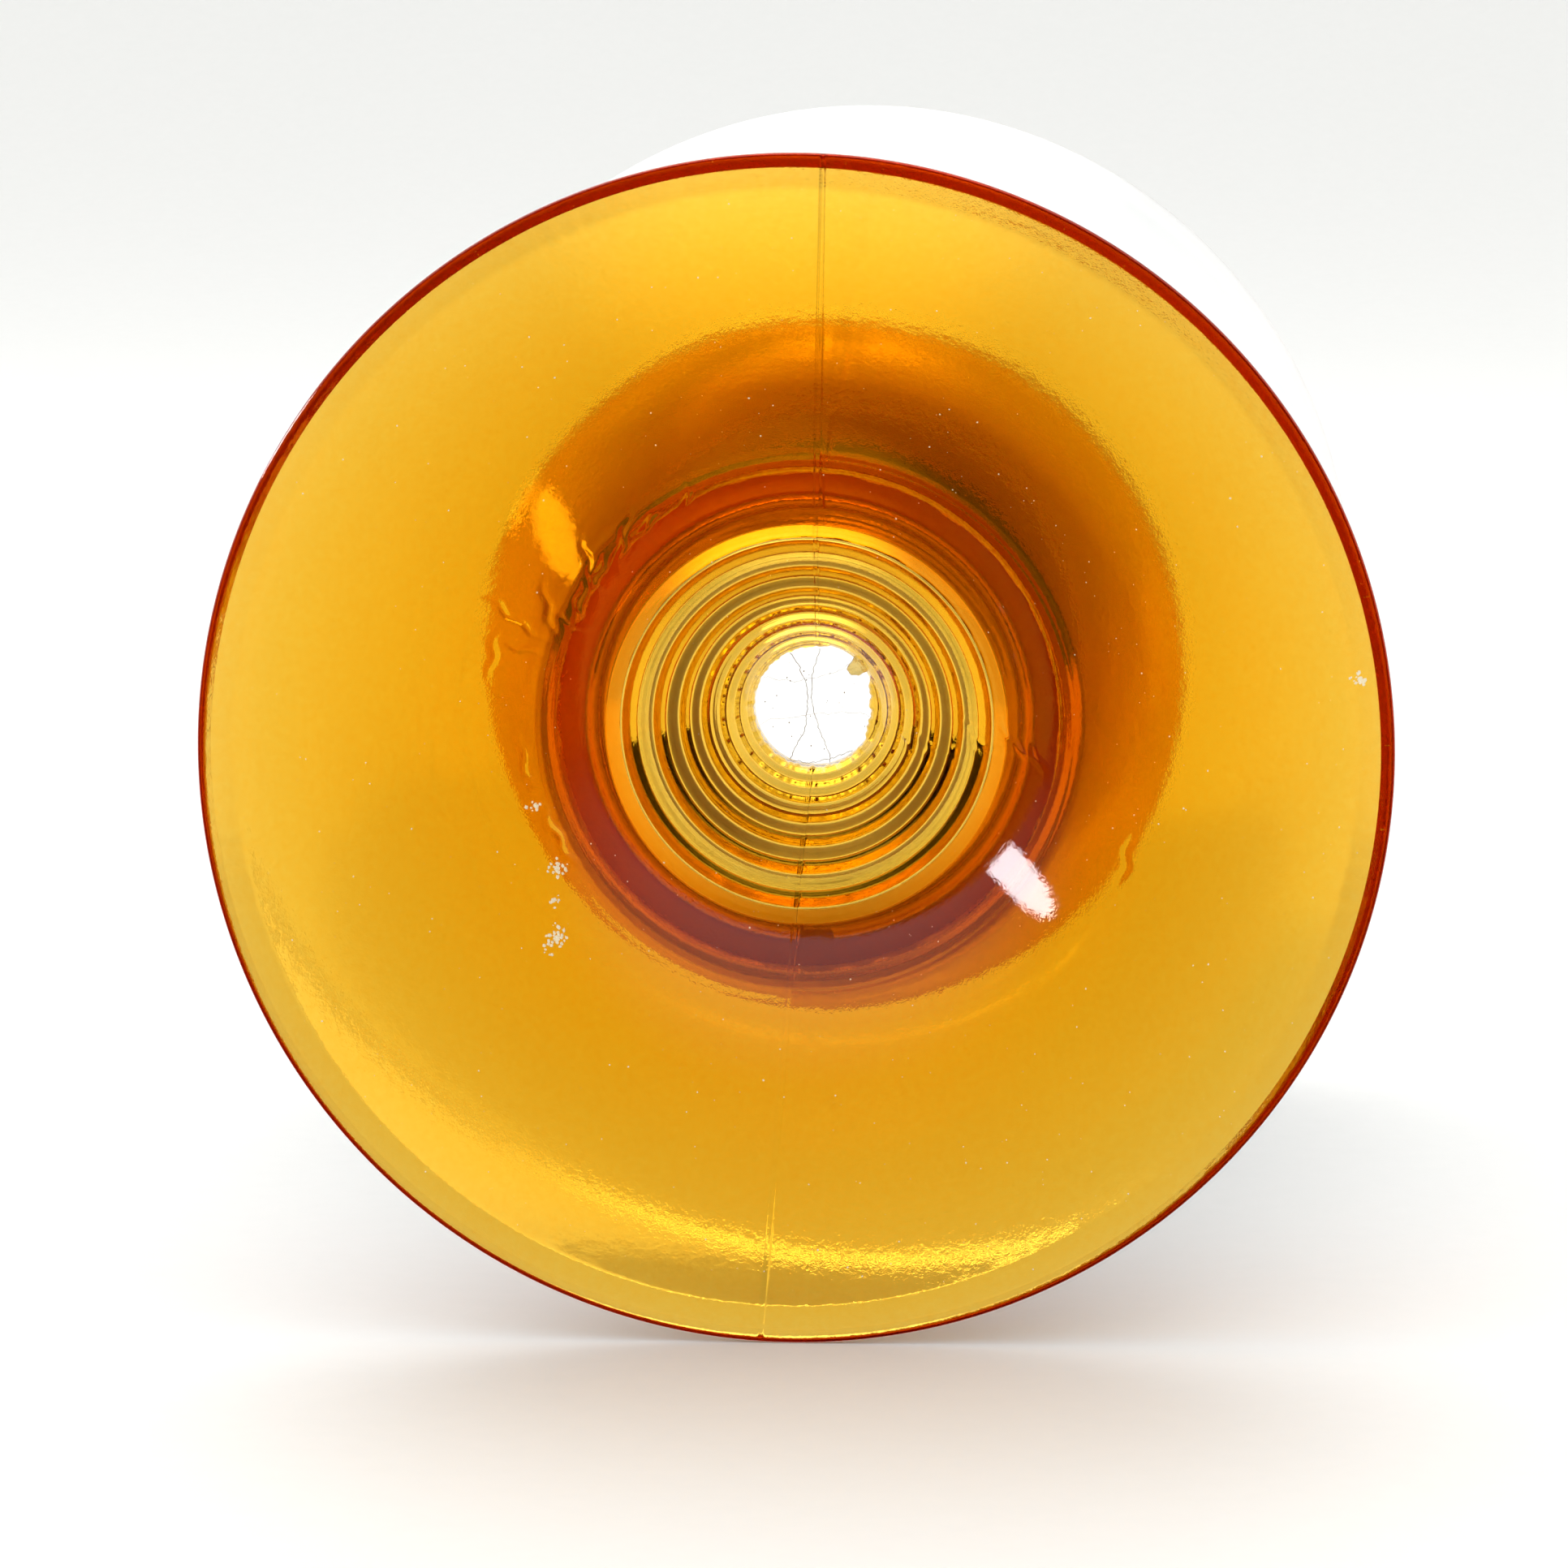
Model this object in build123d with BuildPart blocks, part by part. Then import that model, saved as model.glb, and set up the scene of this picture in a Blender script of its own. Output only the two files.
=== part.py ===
from build123d import *
import math
import os

os.makedirs("parts", exist_ok=True)

# Double-bell glass insulator, lying on its two rims. All sizes in millimetres.
# The axis runs along Y: the amber bell's rim faces -Y, the colourless bell's rim faces +Y.

# Overall sizes
rim_radius = 50.0            # both rims, so that the insulator lies level
total_length = 140.0         # rim face to rim face

# Rims
lip_width = 3.0              # lip, from its inner edge to the rim's outside
lip_flat = 1.2               # flat part of the amber lip, next to the outside
lip_angle = 20.0             # the rest of the amber lip, from the rim's plane
rim_land = 1.0               # straight outside of the rim, along the axis
rim_edge_radius = 0.4        # rounding of the rim's two outer edges

# Amber bell
mouth_radius_end = 30.0      # where the mouth's cone runs into the curved funnel
mouth_depth_end = 10.08
funnel_depth_end = 34.0      # rim face to the front edge of the throat
bolt_radius = 4.76           # 3/8 in bolt
bolt_clearance = 0.59        # round the bolt
throat_land = 2.5            # straight length of the throat
back_radius_end = 26.0       # where the back's cone runs into the waist
back_depth_end = 23.38
crown_depth = 43.0           # rim face to the crown's end face
crown_radius = 28.0          # outside of the crown
crown_land = 1.2             # straight outside of the crown, before its end face

# Rear cavity of the amber bell: ring steps round the throat, then a plain wall
ring_count = 8
ring_base_radius = 18.2      # outside of the widest ring
ring_web = 1.4               # glass left between the funnel and the inner edge of the widest tread
tread_share = 0.7            # flat part of each ring step
cavity_radius_end = 19.5     # cavity wall at the crown's end face

# Cemented joint: a hollow plug on the colourless bell, in the cavity of the amber one
plug_length = 17.0
cement_film = 0.25           # round the plug
shoulder_gap = 0.2           # between the crown's end face and the collar
plug_wall = 2.7              # where the plug meets the collar

# Colourless bell
outside_start_angle = 3.0    # outside of the bell at the collar, from the axis
inside_start_angle = 10.0    # inside of the bell at the collar, from the axis

# Sizes that follow
front_y = -total_length / 2
throat_radius = bolt_radius + bolt_clearance
throat_end = funnel_depth_end + throat_land
lip_radius = rim_radius - lip_width
flat_radius = rim_radius - lip_flat
lip_depth = (flat_radius - lip_radius) * math.tan(math.radians(lip_angle))
mouth_slope = math.atan((mouth_depth_end - lip_depth) / (lip_radius - mouth_radius_end))
plug_start = crown_depth - plug_length
collar_start = crown_depth + shoulder_gap
ring_ratio = (throat_radius / ring_base_radius) ** (1 / ring_count)
first_tread_end = ring_base_radius * (1 - tread_share * (1 - ring_ratio))

# A section plane holds the axis: its x runs along the axis from the amber rim, its y away from the axis.
section = Plane(origin=(0, front_y, rim_radius), x_dir=(0, 1, 0), z_dir=(1, 0, 0))
bell_axis = Axis((0, front_y, rim_radius), (0, 1, 0))


def slope(angle, outward):
    """Direction along a cone at this angle from the rim's plane, going back from the amber rim."""
    turn = math.radians(angle)
    return (math.sin(turn), outward * math.cos(turn))


def funnel_depth(radius):
    """Depth of the curved funnel at this radius: its arc leaves the mouth's cone without a corner."""
    deeper = funnel_depth_end - mouth_depth_end
    narrower = throat_radius - mouth_radius_end
    across = deeper * math.cos(mouth_slope) + narrower * math.sin(mouth_slope)
    arc_radius = (deeper**2 + narrower**2) / (2 * across)
    centre_depth = mouth_depth_end + arc_radius * math.cos(mouth_slope)
    centre_radius = mouth_radius_end + arc_radius * math.sin(mouth_slope)
    return centre_depth - math.sqrt(arc_radius**2 - (centre_radius - radius) ** 2)


ring_base_depth = funnel_depth(first_tread_end) + ring_web


def cavity_radius(depth):
    """Radius of the cavity's plain wall at this depth."""
    share = (depth - ring_base_depth) / (crown_depth - ring_base_depth)
    return ring_base_radius + share * (cavity_radius_end - ring_base_radius)


def ring_steps():
    """Corners of the ring steps from the widest ring down to the throat, each ring in proportion."""
    depth_per_radius = (throat_end - ring_base_depth) / (ring_base_radius - throat_radius)
    corners = [(ring_base_depth, ring_base_radius)]
    for ring in range(ring_count):
        outer = ring_base_radius * ring_ratio**ring
        inner = outer * ring_ratio
        depth = ring_base_depth + depth_per_radius * (ring_base_radius - outer)
        next_depth = ring_base_depth + depth_per_radius * (ring_base_radius - inner)
        corners.append((depth, outer - tread_share * (outer - inner)))
        corners.append((next_depth, inner))
    return corners


# Amber bell: a smooth funnel in front, ring steps and a cavity behind, a waist for the tie wire outside
with BuildPart() as amber_bell:
    with BuildSketch(section) as amber_section:
        with BuildLine() as amber_outline:
            mouth = Line((lip_depth, lip_radius), (mouth_depth_end, mouth_radius_end))
            funnel = TangentArc(mouth @ 1, (funnel_depth_end, throat_radius), tangent=mouth % 1)
            throat = Line(funnel @ 1, (throat_end, throat_radius))
            steps = Polyline(list(reversed(ring_steps())))
            cavity = Line((ring_base_depth, ring_base_radius), (crown_depth, cavity_radius_end))
            crown = Polyline(
                [
                    cavity @ 1,
                    (crown_depth, crown_radius),
                    (crown_depth - crown_land, crown_radius),
                ]
            )
            back = Line((rim_land, rim_radius), (back_depth_end, back_radius_end))
            waist = TangentArc(back @ 1, crown @ 1, tangent=back % 1)
            rim = Polyline([back @ 0, (0, rim_radius), (0, flat_radius), mouth @ 0])
        make_face()
        fillet(amber_section.vertices().group_by(Axis.Y)[-1], rim_edge_radius)
    revolve(axis=bell_axis)
amber_bell.part.label = "glass_bell_amber"
export_step(amber_bell.part, "parts/glass_bell_amber.step")

# Cement: a film round the plug, from its end to the crown's end face
with BuildPart() as cement:
    with BuildSketch(section):
        with BuildLine():
            Polyline(
                [
                    (plug_start, cavity_radius(plug_start)),
                    (crown_depth, cavity_radius_end),
                    (crown_depth, cavity_radius_end - cement_film),
                    (plug_start, cavity_radius(plug_start) - cement_film),
                ],
                close=True,
            )
        make_face()
    revolve(axis=bell_axis)
cement.part.label = "joint_cement"
export_step(cement.part, "parts/joint_cement.step")

# Colourless bell: a tapered hollow plug, a collar behind the crown, then a plain flared wall to the second rim
with BuildPart() as clear_bell:
    with BuildSketch(section) as clear_section:
        with BuildLine():
            flare = TangentArc(
                (collar_start, crown_radius),
                (total_length - rim_land, rim_radius),
                tangent=slope(90 - outside_start_angle, 1),
            )
            far_rim = Polyline([flare @ 1, (total_length, rim_radius), (total_length, lip_radius)])
            inside = TangentArc(
                (collar_start, cavity_radius_end - cement_film - plug_wall),
                far_rim @ 1,
                tangent=slope(90 - inside_start_angle, 1),
            )
            plug = Polyline(
                [
                    inside @ 0,
                    (plug_start, cavity_radius(plug_start) - cement_film - plug_wall),
                    (plug_start, cavity_radius(plug_start) - cement_film),
                    (collar_start, cavity_radius(collar_start) - cement_film),
                    flare @ 0,
                ]
            )
        make_face()
        fillet(clear_section.vertices().group_by(Axis.Y)[-1], rim_edge_radius)
    revolve(axis=bell_axis)
clear_bell.part.label = "glass_bell_clear"
export_step(clear_bell.part, "parts/glass_bell_clear.step")
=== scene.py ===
import math

import bpy
import numpy as np
from mathutils import Matrix, Vector


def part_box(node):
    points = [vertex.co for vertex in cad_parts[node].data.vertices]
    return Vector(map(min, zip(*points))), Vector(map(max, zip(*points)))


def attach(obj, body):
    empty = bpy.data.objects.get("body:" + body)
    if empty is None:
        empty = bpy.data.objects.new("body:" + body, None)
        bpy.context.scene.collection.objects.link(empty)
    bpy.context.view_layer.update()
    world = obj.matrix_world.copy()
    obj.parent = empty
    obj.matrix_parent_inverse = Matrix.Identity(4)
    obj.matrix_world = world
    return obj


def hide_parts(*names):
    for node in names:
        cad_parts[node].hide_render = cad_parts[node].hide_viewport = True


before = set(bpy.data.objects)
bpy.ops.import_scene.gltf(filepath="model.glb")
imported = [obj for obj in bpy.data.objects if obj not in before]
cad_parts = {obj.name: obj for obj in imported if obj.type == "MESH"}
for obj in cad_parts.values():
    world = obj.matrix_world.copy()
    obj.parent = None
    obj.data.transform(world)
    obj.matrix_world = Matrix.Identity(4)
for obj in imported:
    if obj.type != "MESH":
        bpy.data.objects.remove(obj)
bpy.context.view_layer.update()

# Amber bell: one pressed piece of amber glass with a flat lip, a smooth funnel and a through bore in front.
# Behind are eight ring steps, a plain cavity, a crown and a waist for the tie wire. Two mould lines cross it.
amber_low, amber_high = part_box("glass_bell_amber")
clear_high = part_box("glass_bell_clear")[1]
FRONT = round(amber_low[1], 4)  # metres
RIM = round(amber_high[2] * 500, 2)  # mm, as are all lengths below unless a comment says otherwise
LENGTH = round((clear_high[1] - amber_low[1]) * 1000, 2)
THROAT, THROAT_FRONT, THROAT_BACK = 5.35, 34.0, 36.5
RING_BASE, RING_DEPTH, RINGS, TREAD_SHARE = 18.2, 21.5, 8, 0.7
CROWN_DEPTH, CROWN, CROWN_LAND, CAVITY_END = 43.0, 28.0, 1.2, 19.5
LIP_OUT, LIP_IN, MOUTH_END, LIP_ANGLE = 48.8, 47.0, 30.0, math.radians(20)
MOUTH_ANGLE, BACK_ANGLE = math.radians(29), math.radians(43)
SEAMS = (2.8, 183.2)  # the two mould lines, in degrees clockwise from the top
MOUTH_HEADING = (math.sin(MOUTH_ANGLE), -math.cos(MOUTH_ANGLE))
BACK_HEADING = (math.sin(BACK_ANGLE), -math.cos(BACK_ANGLE))
GLASS_IOR = 1.52


def line(a, b, step):
    """Points from a to b, b left out."""
    a, b = np.array(a, float), np.array(b, float)
    count = max(1, math.ceil(np.linalg.norm(b - a) / step))
    return [a + (b - a) * i / count for i in range(count)]


def bow(a, b, heading, step):
    """Points along the arc from a to b that leaves a in this direction, b left out."""
    a, b, t = np.array(a, float), np.array(b, float), np.array(heading, float)
    t = t / np.linalg.norm(t)
    n = np.array((-t[1], t[0]))
    c = b - a
    radius = c.dot(c) / (2 * c.dot(n))
    centre = a + n * radius
    start = math.atan2(*(a - centre)[::-1])
    end = math.atan2(*(b - centre)[::-1])
    turn = (end - start + math.pi) % (2 * math.pi) - math.pi
    count = max(2, math.ceil(abs(turn * radius) / step))
    turns = [start + turn * i / count for i in range(count)]
    return [centre + abs(radius) * np.array((math.cos(q), math.sin(q))) for q in turns]


def bend(corner, before, after, size, count=4):
    """A rounded corner between its two neighbours."""
    corner, before, after = (np.array(p, float) for p in (corner, before, after))
    a = corner + (before - corner) * min(0.4, size / np.linalg.norm(before - corner))
    b = corner + (after - corner) * min(0.4, size / np.linalg.norm(after - corner))
    return [
        (1 - u) ** 2 * a + 2 * u * (1 - u) * corner + u * u * b
        for u in (i / count for i in range(count + 1))
    ]


def chain(corners, size, step):
    """A run of corners, the inner ones rounded, filled in between. The first and last stay sharp."""
    points = []
    last = np.array(corners[0], float)
    for before, corner, after in zip(corners, corners[1:], corners[2:]):
        turn = bend(corner, before, after, size)
        points += line(last, turn[0], step) + turn[:-1]
        last = turn[-1]
    return points + line(last, corners[-1], step)


def piece_of(name, corners, faces, smooth=False):
    """A new mesh object from corners in metres."""
    mesh = bpy.data.meshes.new(name)
    mesh.from_pydata(corners, [], faces)
    if smooth:
        mesh.polygons.foreach_set("use_smooth", np.ones(len(faces), bool))
    mesh.update()
    thing = bpy.data.objects.new(name, mesh)
    bpy.context.scene.collection.objects.link(thing)
    return thing


def lathe(name, outline, angles, lift=None, marks=None):
    """A closed solid of revolution about the insulator's axis. outline is (depth, radius) in mm."""
    p = np.array(outline)
    along = np.roll(p, -1, 0) - np.roll(p, 1, 0)
    along /= np.linalg.norm(along, axis=1)[:, None]
    area = np.sum(p[:, 0] * np.roll(p[:, 1], -1) - np.roll(p[:, 0], -1) * p[:, 1])
    out = np.stack((along[:, 1], -along[:, 0]), 1) * (1 if area > 0 else -1)
    n, m = len(angles), len(p)
    t = np.repeat(angles, m)
    s = np.tile(p[:, 0], n)
    r = np.tile(p[:, 1], n)
    if lift is not None:
        ds, dr = lift(s, r, t, np.tile(out[:, 0], n), np.tile(out[:, 1], n), np.tile(np.arange(m), n))
        s, r = s + ds, r + dr
    co = np.stack((r * np.sin(t), FRONT * 1000 + s, RIM + r * np.cos(t)), 1) / 1000
    i = np.repeat(np.arange(n), m)
    k = np.tile(np.arange(m), n)
    j, l = (i + 1) % n, (k + 1) % m
    quads = np.stack((i * m + k, j * m + k, j * m + l, i * m + l), 1)
    if area > 0:
        quads = quads[:, ::-1]
    thing = piece_of(name, co.tolist(), quads.tolist(), smooth=True)
    if marks is not None:
        layer = thing.data.attributes.new("machined", "FLOAT", "POINT")
        layer.data.foreach_set("value", np.tile(marks, n).astype(np.float32))
    return thing


lip_depth = (LIP_OUT - LIP_IN) * math.tan(LIP_ANGLE)
mouth_end = (lip_depth + (LIP_IN - MOUTH_END) * math.tan(MOUTH_ANGLE), MOUTH_END)
front = chain([(0.0, LIP_OUT + 0.05), (0.0, LIP_OUT), (lip_depth, LIP_IN), mouth_end], 0.3, 0.5)
front += bow(mouth_end, (THROAT_FRONT, THROAT), MOUTH_HEADING, 0.24)
fall = (THROAT_BACK - RING_DEPTH) / (RING_BASE - THROAT)
steps = [(RING_DEPTH, RING_BASE)]
for ring in range(RINGS):
    outer = RING_BASE * (THROAT / RING_BASE) ** (ring / RINGS)
    inner = RING_BASE * (THROAT / RING_BASE) ** ((ring + 1) / RINGS)
    steps.append((RING_DEPTH + fall * (RING_BASE - outer), outer - TREAD_SHARE * (outer - inner)))
    steps.append((RING_DEPTH + fall * (RING_BASE - inner), inner))
front += line((THROAT_FRONT, THROAT), (THROAT_BACK - 0.3, THROAT), 0.4)
cavity_mouth = (CROWN_DEPTH - 1, CAVITY_END - 0.06)
rings = chain([(THROAT_BACK - 0.3, THROAT)] + steps[::-1] + [cavity_mouth], 0.28, 0.45)
crown_edge = (CROWN_DEPTH - CROWN_LAND, CROWN)
crown = chain([cavity_mouth, (CROWN_DEPTH, CAVITY_END), (CROWN_DEPTH, CROWN), crown_edge], 0.5, 0.5)
back_end = (1 + 24 * math.tan(BACK_ANGLE), 26.0)
waist = bow(back_end, crown_edge, BACK_HEADING, 0.5)
waist = [np.array(crown_edge)] + waist[:0:-1]
outside = chain([back_end, (1.0, RIM), (0.0, RIM), (0.0, LIP_OUT + 0.05)], 0.4, 0.6)
amber_outline = front + rings + crown + waist + outside
is_front = np.zeros(len(amber_outline))
is_front[: len(front)] = 1
machined = np.zeros(len(amber_outline))
machined[len(front) : len(front) + len(rings) + len(crown) + len(waist)] = 1

fine = [(281, 340, 0.3), (86, 112, 0.3), (1.8, 3.8, 0.1), (182.2, 184.2, 0.1), (226, 262, 0.4), (10, 75, 0.5)]
degrees = set(round(a * 0.75, 3) for a in range(480))
for low, high, gap in fine:
    degrees |= set(round(low + gap * i, 3) for i in range(int((high - low) / gap)))
degrees = np.array(sorted(degrees))
degrees = degrees[np.diff(degrees, append=360.0) > 0.04]
angles = np.radians(degrees)

# wrinkles where the glass chilled in the mould: radius, angle, length in mm, lean in degrees, height in mm
wrinkles = [
    (26.3, 292, 2.2, 70, 0.16), (24.2, 296, 1.8, 35, 0.15), (22.5, 295, 1.2, 80, 0.1),
    (22.3, 301, 1.5, 20, 0.14), (23.2, 308, 1.8, 50, 0.12), (22.3, 308, 1.4, 15, 0.14),
    (22.6, 317, 1.9, 35, 0.15), (22.3, 323, 1.5, 10, 0.12), (22.6, 334, 1.6, 60, 0.1),
    (25.2, 287, 1.4, 85, 0.12), (5.8, 101, 0.7, 30, 0.12), (8.7, 106, 1, 60, 0.14),
    (10.2, 104, 1, 15, 0.14), (11.6, 103, 1.2, 75, 0.14), (14.3, 94.5, 1.3, 25, 0.16),
    (15.6, 96, 1, 70, 0.14), (17.1, 91, 1.3, 15, 0.16), (18.6, 95, 1.1, 60, 0.14),
    (20.2, 97, 1.2, 30, 0.14), (27.2, 285, 1.5, 5, 0.1), (24, 264, 2.2, 5, 0.1),
    (23, 247, 2.2, 5, 0.1), (30.8, 82.5, 1.6, 5, 0.08), (29.5, 110, 2, 8, 0.08),
]
rng = np.random.default_rng(7)
waves = [
    (rng.integers(1, 9), rng.uniform(0.03, 0.22), rng.uniform(0, 6.28), rng.uniform(0.2, 1)) for _ in range(14)
]
combs = [(rng.integers(60, 190), rng.uniform(0, 6.28)) for _ in range(5)]


def pressed(s, r, t, out_s, out_r, k):
    """What pressing and chilling left on the amber bell."""
    turn = np.degrees(t)
    facing = is_front[k] > 0.5
    h = sum(a * np.sin(f * t + q * r + ph) for f, q, ph, a in waves) * 0.006
    for r0, t0, length, lean, height in wrinkles:
        u = r - r0
        v = np.radians((turn - t0 + 180) % 360 - 180) * r0
        a = math.radians(lean)
        across, along = u * math.cos(a) - v * math.sin(a), u * math.sin(a) + v * math.cos(a)
        across = across + 0.18 * np.sin(2.3 * along + t0)
        h = h + np.where(facing, 0.6 * height * np.exp(-((across / 0.26) ** 2) - (along / length) ** 2), 0)
    for seam in SEAMS:
        gap = np.radians((turn - seam + 180) % 360 - 180) * r
        h = h + np.where(facing, 0.03, 0.05) * np.exp(-((gap / 0.16) ** 2)) * (r < 49.7)
    half = (turn > SEAMS[0]) & (turn < SEAMS[1])
    jog = np.where(machined[k] > 0.5, np.where(half, 0.06, -0.06), 0.0) * (s < 38)
    chips = np.interp(
        turn, [0, 8, 15, 24, 31, 38, 42, 51, 60, 66, 87, 100, 111, 122, 360],
        [0, 0.03, 0.08, 0.09, 0.14, 0.15, 0.2, 0.16, 0.09, -0.03, -0.10, -0.06, -0.09, 0, 0],
    )
    chips = chips + 0.012 * np.sin(23 * t + 1) + 0.008 * np.sin(51 * t)
    near = np.exp(-(((s - 34.6) / 0.9) ** 2)) * (r < 8) * facing
    comb = sum(np.sin(f * t + ph) for f, ph in combs) * 0.0035 * (r > 46.6) * (r < 49.6) * facing
    return out_s * (h + comb) + jog, out_r * h + chips * THROAT * near


amber = lathe("glass_bell_amber_pressed", amber_outline, angles, pressed, machined)


def nodes_of(name):
    material = bpy.data.materials.new(name)
    material.use_nodes = True
    tree = material.node_tree
    return material, tree, tree.nodes["Principled BSDF"], tree.nodes["Material Output"]


def add(tree, kind, **sockets):
    """A node with these socket values or links; names use _ for a space."""
    node = tree.nodes.new(kind)
    for key, value in sockets.items():
        if key in ("operation", "data_type", "noise_dimensions", "feature", "attribute_name"):
            setattr(node, key, value)
            continue
        socket = node.inputs[int(key[1:]) if key[0] == "i" and key[1:].isdigit() else key.replace("_", " ")]
        if hasattr(value, "is_output"):
            tree.links.new(value, socket)
        else:
            socket.default_value = value
    return node


def math_node(tree, kind, a, b=0.0, c=0.0):
    return add(tree, "ShaderNodeMath", operation=kind, i0=a, i1=b, i2=c).outputs[0]


def radius_of(tree, place):
    """Distance from the insulator's axis, in metres."""
    parts = add(tree, "ShaderNodeSeparateXYZ", Vector=place)
    height = math_node(tree, "SUBTRACT", parts.outputs["Z"], RIM / 1000)
    flat = add(tree, "ShaderNodeCombineXYZ", X=parts.outputs["X"], Y=height)
    return add(tree, "ShaderNodeVectorMath", operation="LENGTH", i0=flat.outputs[0]).outputs["Value"]


# every finish here has a mottle between two tones, so it is one node group
mottled = bpy.data.node_groups.new("mottled", "ShaderNodeTree")
mottle_inputs = {"Scale": "Float", "Detail": "Float", "Harshness": "Float", "Dark": "Color", "Pale": "Color"}
for label, kind in mottle_inputs.items():
    mottled.interface.new_socket(label, in_out="INPUT", socket_type="NodeSocket" + kind)
for label, kind in (("Color", "Color"), ("Height", "Float")):
    mottled.interface.new_socket(label, in_out="OUTPUT", socket_type="NodeSocket" + kind)
given = mottled.nodes.new("NodeGroupInput")
result = mottled.nodes.new("NodeGroupOutput")
spot = add(mottled, "ShaderNodeTexCoord").outputs["Object"]
noise = add(mottled, "ShaderNodeTexNoise", Vector=spot)
for label, socket in (("Scale", "Scale"), ("Detail", "Detail"), ("Harshness", "Roughness")):
    mottled.links.new(given.outputs[label], noise.inputs[socket])
blend = add(mottled, "ShaderNodeMix", data_type="RGBA", Factor=noise.outputs["Fac"])
mottled.links.new(given.outputs["Dark"], blend.inputs[6])
mottled.links.new(given.outputs["Pale"], blend.inputs[7])
mottled.links.new(blend.outputs[2], result.inputs["Color"])
mottled.links.new(noise.outputs["Fac"], result.inputs["Height"])


def mottle_of(tree, scale, detail, harshness, dark, pale):
    """The mottle at this scale between two tones: its colour and its height."""
    node = tree.nodes.new("ShaderNodeGroup")
    node.node_tree = mottled
    for label, value in zip(mottle_inputs, (scale, detail, harshness, (*dark, 1), (*pale, 1))):
        node.inputs[label].default_value = value
    return node.outputs["Color"], node.outputs["Height"]


glass, tree, shader, output = nodes_of("amber_glass")
place = add(tree, "ShaderNodeTexCoord").outputs["Object"]
radius = radius_of(tree, place)
tone, mottle = mottle_of(tree, 70.0, 4.0, 0.6, (1.0, 0.53, 0.055), (1.0, 0.635, 0.11))
grain = add(tree, "ShaderNodeTexNoise", Vector=place, Scale=1500.0, Detail=3.0, Roughness=0.7).outputs["Fac"]
seed = add(tree, "ShaderNodeTexVoronoi", feature="F1", Vector=place, Scale=420.0).outputs["Distance"]
seed_mask = math_node(tree, "LESS_THAN", seed, 0.045)
fleck = add(tree, "ShaderNodeMix", data_type="RGBA", Factor=grain)
tree.links.new(tone, fleck.inputs["A"])
fleck.inputs["B"].default_value = (1.0, 0.76, 0.21, 1)
tree.links.new(fleck.outputs["Result"], shader.inputs["Base Color"])
rough = math_node(tree, "MULTIPLY_ADD", grain, 0.05, 0.005)
tree.links.new(rough, shader.inputs["Roughness"])
rib = math_node(tree, "SINE", math_node(tree, "MULTIPLY", radius, 13500.0))
rib_noise = add(tree, "ShaderNodeTexNoise", noise_dimensions="1D", W=radius, Scale=2600.0, Detail=2.0)
rib_noise = rib_noise.outputs["Fac"]
ribs = math_node(tree, "MULTIPLY_ADD", rib, 0.3, rib_noise)
turned = add(tree, "ShaderNodeAttribute", attribute_name="machined").outputs["Fac"]
ribs = math_node(tree, "MULTIPLY", ribs, turned)
skin = math_node(tree, "MULTIPLY_ADD", mottle, 0.9, math_node(tree, "MULTIPLY", grain, 0.3))
relief = math_node(tree, "MULTIPLY_ADD", ribs, 0.35, skin)
relief = math_node(tree, "MULTIPLY_ADD", seed_mask, 0.5, relief)
bump = add(tree, "ShaderNodeBump", Strength=0.35, Distance=0.00006, Height=relief)
tree.links.new(bump.outputs[0], shader.inputs["Normal"])
shader.inputs["IOR"].default_value = GLASS_IOR
shader.inputs["Transmission Weight"].default_value = 1.0
body = add(tree, "ShaderNodeVolumeAbsorption", Color=(0.977, 0.88, 0.30, 1), Density=560.0)
tree.links.new(body.outputs[0], output.inputs["Volume"])
amber.data.materials.append(glass)
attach(amber, "root")
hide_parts("glass_bell_amber")

# Colourless bell: pressed clear glass, with a tapered hollow plug inside the crown, a collar behind it, then a
# flared wall to the second rim. It carries the same mould lines, and the insulator's back lies on that rim.
PLUG_START, COLLAR, PLUG_WALL, CEMENT, CLEAR_LIP = 26.0, 43.2, 2.7, 0.25, 47.0


def cavity_radius(depth):
    return RING_BASE + (depth - RING_DEPTH) / (CROWN_DEPTH - RING_DEPTH) * (CAVITY_END - RING_BASE)


plug_out = cavity_radius(PLUG_START) - CEMENT
neck = CAVITY_END - CEMENT - PLUG_WALL
flare_out, flare_in = math.radians(3), math.radians(10)
flare = bow((COLLAR, CROWN), (LENGTH - 1, RIM), (math.cos(flare_out), math.sin(flare_out)), 1.0)
inside = bow((COLLAR, neck), (LENGTH, CLEAR_LIP), (math.cos(flare_in), math.sin(flare_in)), 1.0)
inside = [np.array((LENGTH, CLEAR_LIP))] + inside[:0:-1]
plug = [(COLLAR, neck), (PLUG_START, plug_out - PLUG_WALL), (PLUG_START, plug_out)]
plug += [(COLLAR, cavity_radius(COLLAR) - CEMENT), (COLLAR, CROWN)]
clear_outline = flare + chain([(LENGTH - 1, RIM), (LENGTH, RIM), (LENGTH, CLEAR_LIP)], 0.45, 0.5) + inside
clear_outline += chain(plug, 0.4, 0.7)
swells = [
    (rng.integers(1, 7), rng.uniform(0.03, 0.12), rng.uniform(0, 6.28), rng.uniform(0.2, 1)) for _ in range(10)
]


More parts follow.
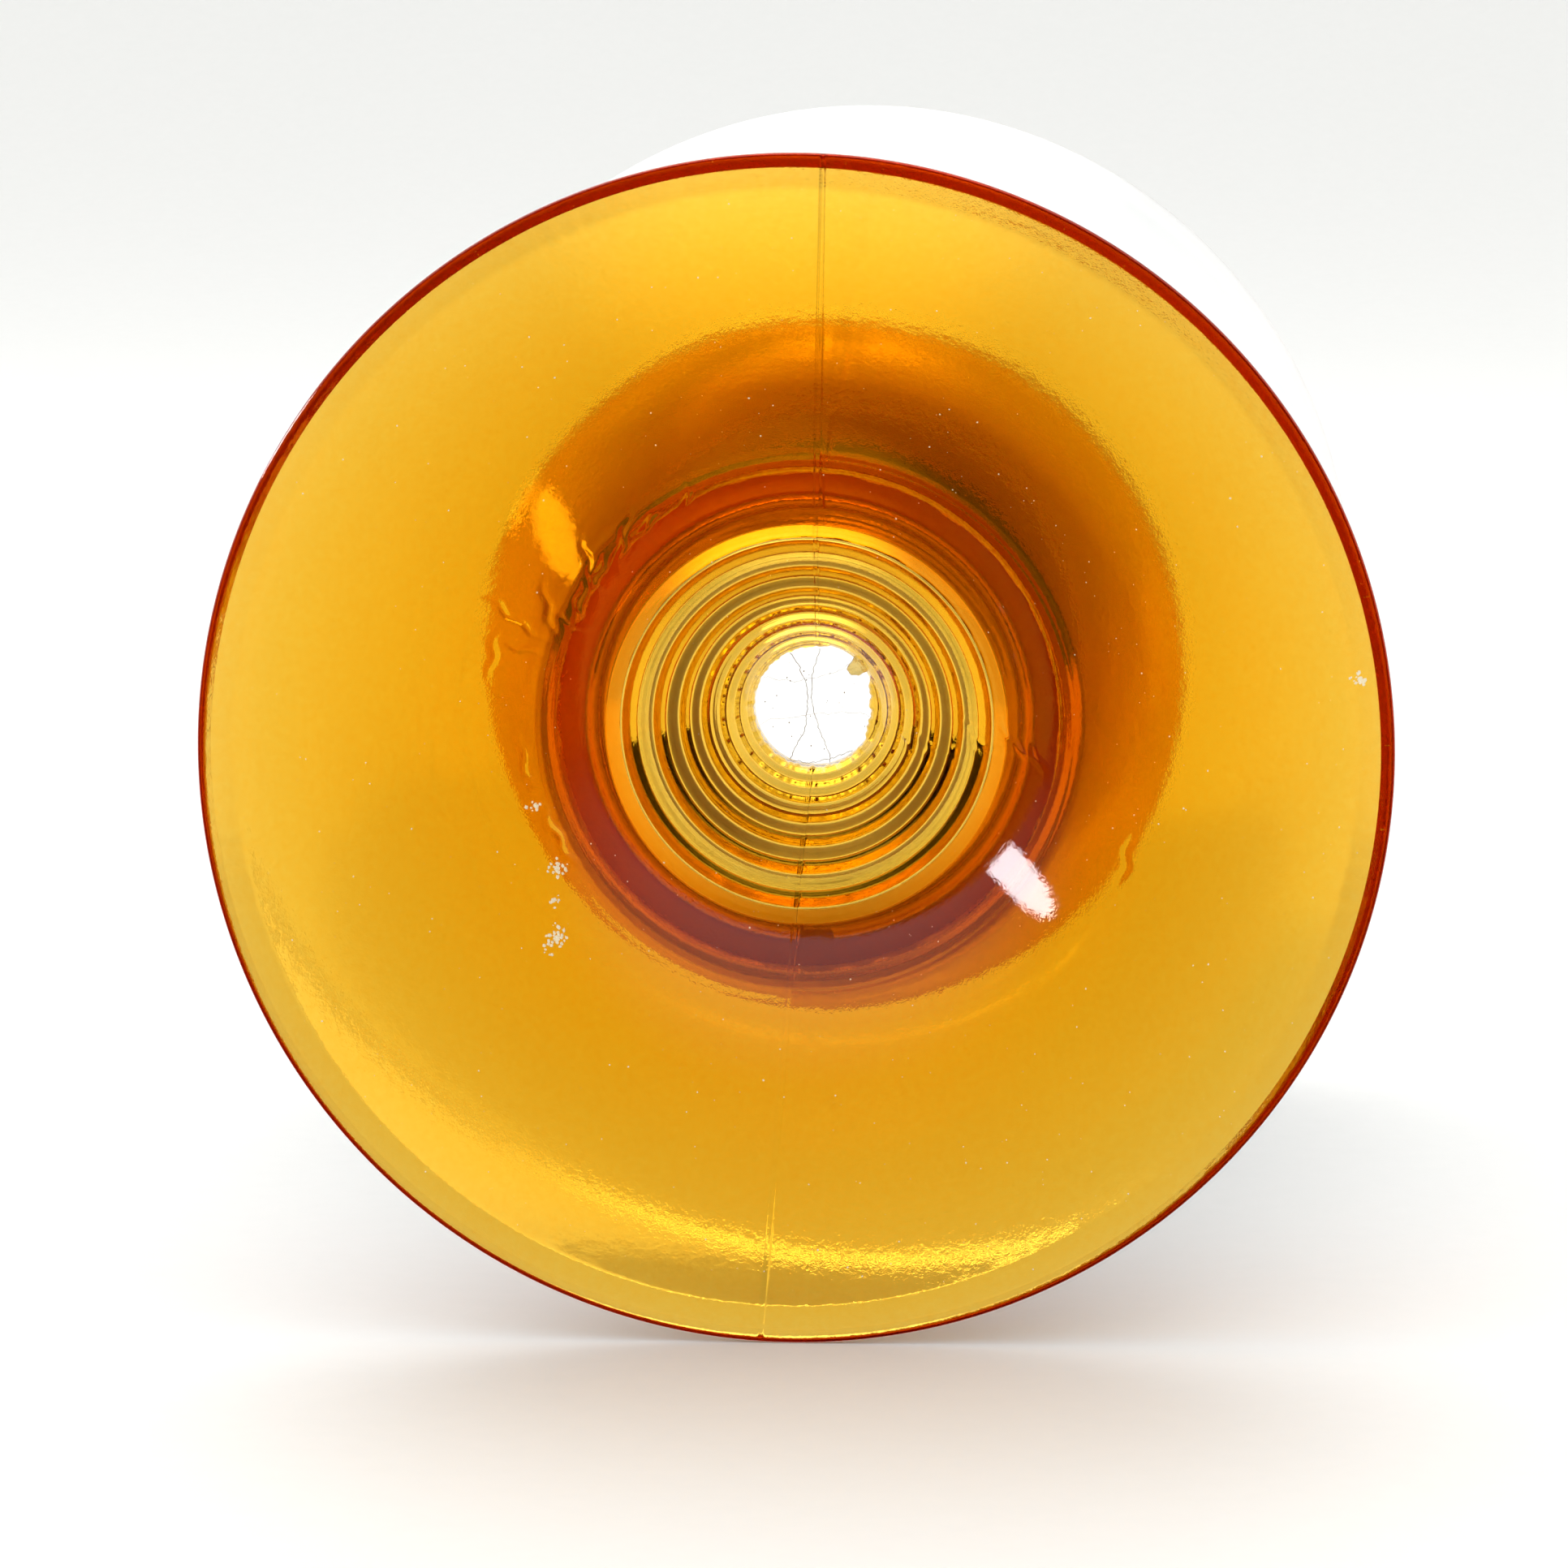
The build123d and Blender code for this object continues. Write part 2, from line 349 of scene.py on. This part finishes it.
def waved(s, r, t, out_s, out_r, k):
    """Slow waves of the wall and the two mould lines."""
    turn = np.degrees(t)
    free = np.clip((s - 46) / 10, 0, 1) * np.clip((LENGTH - 1 - s) / 3, 0, 1)
    h = sum(a * np.sin(f * t + q * s + ph) for f, q, ph, a in swells) * 0.02 - 0.05
    for seam in SEAMS:
        gap = np.radians((turn - seam + 180) % 360 - 180) * r
        h = h + 0.06 * np.exp(-((gap / 0.25) ** 2))
    return out_s * h * free, out_r * h * free


clear_degrees = set(round(a * 0.9, 3) for a in range(400))
for seam in SEAMS:
    clear_degrees |= set(round(seam - 1 + 0.2 * i, 3) for i in range(11))
clear_degrees = np.array(sorted(clear_degrees))
clear_degrees = clear_degrees[np.diff(clear_degrees, append=360.0) > 0.04]
clear = lathe("glass_bell_clear_pressed", clear_outline, np.radians(clear_degrees), waved)
glass, tree, shader, output = nodes_of("clear_glass")
place = add(tree, "ShaderNodeTexCoord").outputs["Object"]
tone, film = mottle_of(tree, 45.0, 5.0, 0.65, (0.90, 0.91, 0.925), (0.97, 0.975, 0.98))
dust = add(tree, "ShaderNodeTexNoise", Vector=place, Scale=900.0, Detail=3.0, Roughness=0.7).outputs["Fac"]
tree.links.new(tone, shader.inputs["Base Color"])
tree.links.new(math_node(tree, "MULTIPLY_ADD", dust, 0.06, 0.01), shader.inputs["Roughness"])
relief = math_node(tree, "MULTIPLY_ADD", film, 1.0, math_node(tree, "MULTIPLY", dust, 0.1))
bump = add(tree, "ShaderNodeBump", Strength=0.3, Distance=0.00008, Height=relief)
tree.links.new(bump.outputs[0], shader.inputs["Normal"])
shader.inputs["IOR"].default_value = GLASS_IOR
shader.inputs["Transmission Weight"].default_value = 1.0
body = add(tree, "ShaderNodeVolumeAbsorption", Color=(0.93, 0.96, 0.95, 1), Density=9.0)
tree.links.new(body.outputs[0], output.inputs["Volume"])
clear.data.materials.append(glass)
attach(clear, "root")
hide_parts("glass_bell_clear")

# Joint cement: a hard tan-brown film in the thin gap between the plug and the amber cavity, with a stain that
# crept out between the crown's end face and the collar and thins away towards the crown's edge.
ring_angles = np.radians(np.arange(0, 360, 0.75))
film_outline = chain(
    [
        (PLUG_START + 8, cavity_radius(PLUG_START + 8) - 0.02),
        (CROWN_DEPTH + 0.06, CAVITY_END - 0.02),
        (CROWN_DEPTH + 0.06, CROWN - 0.7),
        (CROWN_DEPTH + 0.13, CROWN - 0.7),
        (CROWN_DEPTH + 0.13, CAVITY_END - 0.23),
        (PLUG_START, cavity_radius(PLUG_START) - 0.23),
        (PLUG_START, cavity_radius(PLUG_START) - 0.02),
        (PLUG_START + 8, cavity_radius(PLUG_START + 8) - 0.02),
    ],
    0.03,
    0.8,
)
ooze = [(rng.integers(3, 40), rng.uniform(0, 6.28), rng.uniform(0.1, 0.5)) for _ in range(12)]


def squeezed(s, r, t, out_s, out_r, k):
    """The uneven edge of the film at the plug's end."""
    edge = np.clip(1 - (s - PLUG_START) / 1.5, 0, 1)
    return edge * (0.45 + sum(a * np.sin(f * t + ph) for f, ph, a in ooze) * 0.25), np.zeros_like(s)


cement = lathe("joint_cement_film", film_outline, ring_angles, squeezed)
paste, tree, shader, output = nodes_of("joint_cement")
place = add(tree, "ShaderNodeTexCoord").outputs["Object"]
radius = radius_of(tree, place)
tone, blotch = mottle_of(tree, 160.0, 6.0, 0.7, (0.60, 0.20, 0.06), (0.84, 0.38, 0.13))
grit = add(tree, "ShaderNodeTexNoise", Vector=place, Scale=2400.0, Detail=4.0, Roughness=0.7).outputs["Fac"]
creep = add(tree, "ShaderNodeTexNoise", noise_dimensions="1D", W=radius, Scale=2600.0, Detail=3.0)
creep = creep.outputs["Fac"]
tree.links.new(tone, shader.inputs["Base Color"])
tree.links.new(math_node(tree, "MULTIPLY_ADD", grit, 0.3, 0.6), shader.inputs["Roughness"])
bump = add(tree, "ShaderNodeBump", Strength=0.6, Distance=0.0001, Height=math_node(tree, "ADD", blotch, grit))
tree.links.new(bump.outputs[0], shader.inputs["Normal"])
thin = add(tree, "ShaderNodeMapRange", i0=radius, i1=0.0196, i2=0.0255, i3=0.62, i4=0.0).outputs[0]
thin = math_node(tree, "MULTIPLY", thin, math_node(tree, "MULTIPLY_ADD", creep, 1.1, 0.45))
solid = math_node(tree, "LESS_THAN", radius, 0.01949)
tree.links.new(math_node(tree, "MAXIMUM", thin, solid), shader.inputs["Alpha"])
cement.data.materials.append(paste)
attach(cement, "root")
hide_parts("joint_cement")

# Chipped flake: a thin ragged chip of amber glass, still hanging in the throat's broken edge at the upper
# right. It is the same pressed glass, with a rougher broken face.
def slab(name, rim, depth_front, depth_back, dome):
    """A thin closed chip from its outline, (x, z) in mm from the axis, slightly domed towards the front."""
    rim = np.array(rim)
    middle = rim.mean(0)
    half_way = 0.5 * (depth_front + depth_back)
    rows = [(depth_back, 0.97), (half_way, 1.0), (depth_front, 0.93), (depth_front - dome, 0.5)]
    n = len(rim)
    corners = []
    for depth, share in rows:
        corners += [(x, FRONT * 1000 + depth, RIM + z) for x, z in middle + (rim - middle) * share]
    corners += [(middle[0], FRONT * 1000 + depth_front - dome, RIM + middle[1])]
    corners += [(middle[0], FRONT * 1000 + depth_back, RIM + middle[1])]
    faces = []
    for k in range(len(rows) - 1):
        low, high = k * n, (k + 1) * n
        faces += [(low + i, low + (i + 1) % n, high + (i + 1) % n, high + i) for i in range(n)]
    last = (len(rows) - 1) * n
    faces += [(last + i, last + (i + 1) % n, len(rows) * n) for i in range(n)]
    faces += [((i + 1) % n, i, len(rows) * n + 1) for i in range(n)]
    return piece_of(name, (np.array(corners) / 1000).tolist(), faces)


chip, chip_x, chip_z, lean = [], 4.0, 3.75, math.radians(-48)
for a in np.radians(np.arange(0, 360, 15)):
    wide, tall = 0.85 + 0.10 * math.sin(5 * a), 1.15 + 0.12 * math.sin(3 * a + 1) + 0.08 * math.sin(8 * a)
    u, v = wide * math.cos(a), tall * math.sin(a)
    across = u * math.cos(lean) - v * math.sin(lean)
    chip.append((chip_x + across, chip_z + u * math.sin(lean) + v * math.cos(lean)))
flake = slab("throat_flake", chip, 33.9, 34.5, 0.15)
chipped, tree, shader, output = nodes_of("amber_flake")
tone, hackle = mottle_of(tree, 1900.0, 4.0, 0.7, (1.0, 0.62, 0.10), (1.0, 0.86, 0.40))
tree.links.new(tone, shader.inputs["Base Color"])
tree.links.new(math_node(tree, "MULTIPLY_ADD", hackle, 0.3, 0.05), shader.inputs["Roughness"])
bump = add(tree, "ShaderNodeBump", Strength=0.8, Distance=0.0001, Height=hackle)
tree.links.new(bump.outputs[0], shader.inputs["Normal"])
shader.inputs["IOR"].default_value = GLASS_IOR
shader.inputs["Transmission Weight"].default_value = 0.85
flake.data.materials.append(chipped)
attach(flake, "root")

# Residue in the throat: fine brown strands with specks between them, left across the bore and bent like dried
# hairs. They cling to the throat's edge.
STRAND_DEPTH = 34.6


def funnel(r):
    """Depth of the amber bell's front surface at this radius, in mm."""
    if r >= LIP_IN:
        return max(0.0, LIP_OUT - r) * math.tan(LIP_ANGLE)
    if r >= MOUTH_END:
        return lip_depth + (LIP_IN - r) * math.tan(MOUTH_ANGLE)
    a, b, t = np.array(mouth_end), np.array((THROAT_FRONT, THROAT)), np.array(MOUTH_HEADING)
    n, c = np.array((-t[1], t[0])), b - a
    reach = c.dot(c) / (2 * c.dot(n))
    centre = a + n * reach
    return centre[0] - math.sqrt(reach * reach - (centre[1] - r) ** 2)


def tube(name, runs):
    """Thin tapered tubes, each a list of (x, y, z, radius) in mm, joined in one mesh."""
    corners, faces = [], []
    for run in runs:
        base = len(corners)
        pts = np.array([q[:3] for q in run], float)
        for i, (x, y, z, w) in enumerate(run):
            t = pts[min(i + 1, len(run) - 1)] - pts[max(i - 1, 0)]
            t = t / (np.linalg.norm(t) + 1e-9)
            side = np.cross(t, (0.0, 1.0, 0.0))
            if np.linalg.norm(side) < 1e-3:
                side = np.cross(t, (1.0, 0.0, 0.0))
            side = side / np.linalg.norm(side)
            up = np.cross(t, side)
            for a in range(6):
                q = a * math.pi / 3
                corners.append(np.array((x, y, z)) + w * (side * math.cos(q) + up * math.sin(q)))
        for i in range(len(run) - 1):
            for a in range(6):
                k, l = base + i * 6 + a, base + i * 6 + (a + 1) % 6
                faces.append((k, l, l + 6, k + 6))
        faces.append(tuple(base + a for a in range(6))[::-1])
        faces.append(tuple(base + (len(run) - 1) * 6 + a for a in range(6)))
    return piece_of(name, (np.array(corners) / 1000).tolist(), faces, smooth=True)


def strand(a, b, bow_out, seed, width):
    """A wavy run between two angles of the throat's edge, in degrees clockwise from the top."""
    local = np.random.default_rng(seed)
    ends = [np.array((math.sin(q), math.cos(q))) * (THROAT - 0.15) for q in (math.radians(a), math.radians(b))]
    across = ends[1] - ends[0]
    side = np.array((across[1], -across[0])) / np.linalg.norm(across)
    drift = np.cumsum(local.normal(0, 0.05, 60))
    drift -= np.linspace(drift[0], drift[-1], 60)
    run = []
    for i in range(60):
        u = i / 59
        x, z = ends[0] + across * u + side * (bow_out * math.sin(math.pi * u) + drift[i])
        y = FRONT * 1000 + STRAND_DEPTH + 0.5 * math.sin(4 * u + seed)
        run.append((x, y, RIM + z, width * (0.6 + 0.4 * local.random())))
    return run


runs = [strand(335, 205, -1.6, 3, 0.035), strand(205, 140, 0.5, 4, 0.03), strand(5, 165, 1.1, 5, 0.032)]
runs += [strand(300, 40, 0.8, 6, 0.014), strand(250, 100, -0.7, 8, 0.014)]
for q in range(26):
    a, d = rng.uniform(0, 6.28), 4.9 * math.sqrt(rng.random())
    x, z, w = d * math.sin(a), d * math.cos(a), rng.uniform(0.025, 0.07)
    y = FRONT * 1000 + STRAND_DEPTH
    runs.append([(x, y, RIM + z - w, w * 0.4), (x + w * 0.3, y, RIM + z, w), (x, y, RIM + z + w, w * 0.35)])
residue = tube("throat_residue", runs)
brown, tree, shader, output = nodes_of("brown_residue")
tone, speck = mottle_of(tree, 3000.0, 3.0, 0.5, (0.30, 0.17, 0.08), (0.62, 0.47, 0.30))
tree.links.new(tone, shader.inputs["Base Color"])
tree.links.new(math_node(tree, "MULTIPLY_ADD", speck, 0.3, 0.6), shader.inputs["Roughness"])
bump = add(tree, "ShaderNodeBump", Strength=0.5, Distance=0.00003, Height=speck)
tree.links.new(bump.outputs[0], shader.inputs["Normal"])
residue.data.materials.append(brown)
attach(residue, "root")

# Mineral crust and grit: small white lime patches dried on the funnel and the lip, with fine pale grit over
# the whole mouth. Each grain is a tiny irregular lump, pressed a little into the surface.
def grains(name, spots):
    """Irregular lumps at (radius, degrees, size in mm) on the front surface, joined in one mesh."""
    corners, faces = [], []
    shape = [(a, b) for b in (-0.9, 0.0, 0.9) for a in range(5)]
    for r, turn, size in spots:
        base = len(corners)
        t = math.radians(turn)
        radial = np.array((math.sin(t), 0, math.cos(t)))
        around = np.array((math.cos(t), 0, -math.sin(t)))
        slope = (funnel(r + 0.05) - funnel(r - 0.05)) / 0.1
        along = radial + np.array((0, slope, 0))
        along /= np.linalg.norm(along)
        out = np.cross(along, around)
        out = out if out[1] < 0 else -out
        centre = np.array((r * radial[0], FRONT * 1000 + funnel(r), RIM + r * radial[2])) + out * size * 0.1
        for a, b in shape:
            q = a * 2 * math.pi / 5 + b
            ring = math.cos(b) * size * rng.uniform(0.7, 1.25)
            flat = around * ring * math.cos(q) + along * ring * math.sin(q)
            corners.append(centre + flat + out * size * 0.45 * math.sin(b))
        corners.append(centre - out * size * 0.5)
        corners.append(centre + out * size * 0.5)
        for k in (0, 5):
            low, high = base + k, base + k + 5
            faces += [(low + a, low + (a + 1) % 5, high + (a + 1) % 5, high + a) for a in range(5)]
        faces += [(base + (a + 1) % 5, base + a, base + 15) for a in range(5)]
        faces += [(base + 10 + a, base + 10 + (a + 1) % 5, base + 16) for a in range(5)]
    return piece_of(name, (np.array(corners) / 1000).tolist(), faces)


spots = []
# lime patches: radius, angle, spread in mm, number of grains
patches = [(24.1, 241, 0.7, 46), (27.4, 230, 1.0, 60), (23.7, 254.5, 0.5, 24), (25.6, 236, 0.4, 16)]
patches += [(47.5, 82, 0.55, 40)]
for r0, t0, spread, count in patches:
    for q in range(count):
        a, d = rng.uniform(0, 6.28), abs(rng.normal(0, spread * 0.55))
        turn = t0 + math.degrees(d * math.sin(a) / r0)
        spots.append((r0 + d * math.cos(a) * 1.2, turn, rng.uniform(0.05, 0.2)))
crust = grains("mineral_crust", spots)
spots = []
for q in range(620):
    r = 6 + 42 * math.sqrt(rng.random())
    spots.append((min(r, 48.5), rng.uniform(0, 360), 0.03 + 0.07 * rng.random() ** 3))
grit_piece = grains("pale_grit", spots)
lime, tree, shader, output = nodes_of("lime")
tone, powder = mottle_of(tree, 2600.0, 4.0, 0.5, (0.90, 0.74, 0.42), (0.96, 0.90, 0.74))
tree.links.new(tone, shader.inputs["Base Color"])
tree.links.new(math_node(tree, "MULTIPLY_ADD", powder, 0.3, 0.6), shader.inputs["Roughness"])
bump = add(tree, "ShaderNodeBump", Strength=0.7, Distance=0.00005, Height=powder)
tree.links.new(bump.outputs[0], shader.inputs["Normal"])
for piece in (crust, grit_piece):
    piece.data.materials.append(lime)
    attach(piece, "root")

# Floor and backdrop: a seamless sheet of off-white paper under and behind the insulator. The glass doesn't
# reflect it.
profile = [(-6.0, 0.0), (-1.0, 0.0)]
profile += [(1.2 + 0.6 * math.sin(a), 0.6 - 0.6 * math.cos(a)) for a in np.linspace(0, math.pi / 2, 25)]
profile += [(1.8, 1.2)]
corners = [(x, y, z) for y, z in profile for x in (-3.0, 3.0)]
faces = [(2 * i, 2 * i + 1, 2 * i + 3, 2 * i + 2) for i in range(len(profile) - 1)]
sweep = piece_of("paper_sweep", corners, faces, smooth=True)
paper, tree, shader, output = nodes_of("paper")
tone, tooth = mottle_of(tree, 300.0, 5.0, 0.7, (0.90, 0.905, 0.895), (0.94, 0.94, 0.93))
tree.links.new(tone, shader.inputs["Base Color"])
shader.inputs["Roughness"].default_value = 0.6
bump = add(tree, "ShaderNodeBump", Strength=0.1, Distance=0.0001, Height=tooth)
tree.links.new(bump.outputs[0], shader.inputs["Normal"])
sweep.data.materials.append(paper)
sweep.visible_glossy = False

# Room light: a soft white room that falls off to dark in front of the amber bell, with a brighter patch high up
# behind. Rays from matt surfaces get an even room instead of that fall-off.
world = bpy.data.worlds.new("soft_room")
bpy.context.scene.world = world
world.use_nodes = True
tree = world.node_tree
sky = tree.nodes["Background"]
sky.inputs["Color"].default_value = (1, 1, 0.985, 1)
way = add(tree, "ShaderNodeSeparateXYZ", Vector=add(tree, "ShaderNodeTexCoord").outputs["Generated"])
away = math_node(tree, "MULTIPLY_ADD", way.outputs["Z"], 0.6, way.outputs["Y"])
fade = add(tree, "ShaderNodeMapRange", i0=away, i1=-0.35, i2=0.45, i3=0.0, i4=1.06)
fade.interpolation_type = "SMOOTHSTEP"
lamp = add(tree, "ShaderNodeVectorMath", operation="DOT_PRODUCT", i1=(-0.15, 0.66, 0.74))
tree.links.new(way.inputs[0].links[0].from_socket, lamp.inputs[0])
glow = add(tree, "ShaderNodeMapRange", i0=lamp.outputs["Value"], i1=0.80, i2=1.0, i3=0.0, i4=2.2)
glow.interpolation_type = "SMOOTHSTEP"
diffuse = add(tree, "ShaderNodeLightPath").outputs["Is Diffuse Ray"]
mixer = add(tree, "ShaderNodeMix", data_type="FLOAT", Factor=diffuse)
tree.links.new(math_node(tree, "ADD", fade.outputs[0], glow.outputs[0]), mixer.inputs["A"])
tree.links.new(math_node(tree, "ADD", glow.outputs[0], 0.98), mixer.inputs["B"])
tree.links.new(mixer.outputs["Result"], sky.inputs["Strength"])

# Strip softbox: a long soft studio light up on the left, at arm's length from the glass. It shows only as
# gleams on the glass, and lights nothing else.
spot_at, lit, long_way = Vector((-0.87, -0.20, 0.45)), Vector((0, -0.045, 0.05)), Vector((0.1, -0.24, -0.02))
strip = bpy.data.lights.new("strip_softbox", "AREA")
strip.shape = "ELLIPSE"
strip.size, strip.size_y = 0.72, 0.15
strip.energy = 5.0
strip.color = (0.97, 0.95, 1.0)
softbox = bpy.data.objects.new("strip_softbox", strip)
facing = (spot_at - lit).normalized()
lengthwise = (long_way - facing * long_way.dot(facing)).normalized()
softbox.matrix_world = Matrix.Translation(spot_at) @ Matrix(
    (lengthwise, facing.cross(lengthwise), facing)
).transposed().to_4x4()
softbox.visible_diffuse = False
softbox.visible_transmission = False
bpy.context.scene.collection.objects.link(softbox)

# Camera: a long lens in front of the amber bell, a little above and to the right of the axis, and aimed at the
# centre of its rim.
sideways, down, reach = math.radians(3.17), math.radians(7.13), 0.5575
look = Vector((-math.sin(sideways) * math.cos(down), math.cos(sideways) * math.cos(down), -math.sin(down)))
rim_centre = Vector((0, FRONT, RIM / 1000))
eye = rim_centre - look * reach
level = look.to_track_quat("-Z", "Y")
aim = rim_centre - level @ Vector((0.00076, 0.00244, 0)) - eye
lens = bpy.data.cameras.new("camera")
lens.lens = 153.6
camera = bpy.data.objects.new("camera", lens)
camera.location = eye
camera.rotation_euler = aim.to_track_quat("-Z", "Y").to_euler()
bpy.context.scene.collection.objects.link(camera)
bpy.context.scene.camera = camera
scene = bpy.context.scene
scene.view_settings.view_transform = "Standard"
scene.cycles.max_bounces = 24
scene.cycles.transmission_bounces = 24
scene.cycles.glossy_bounces = 12
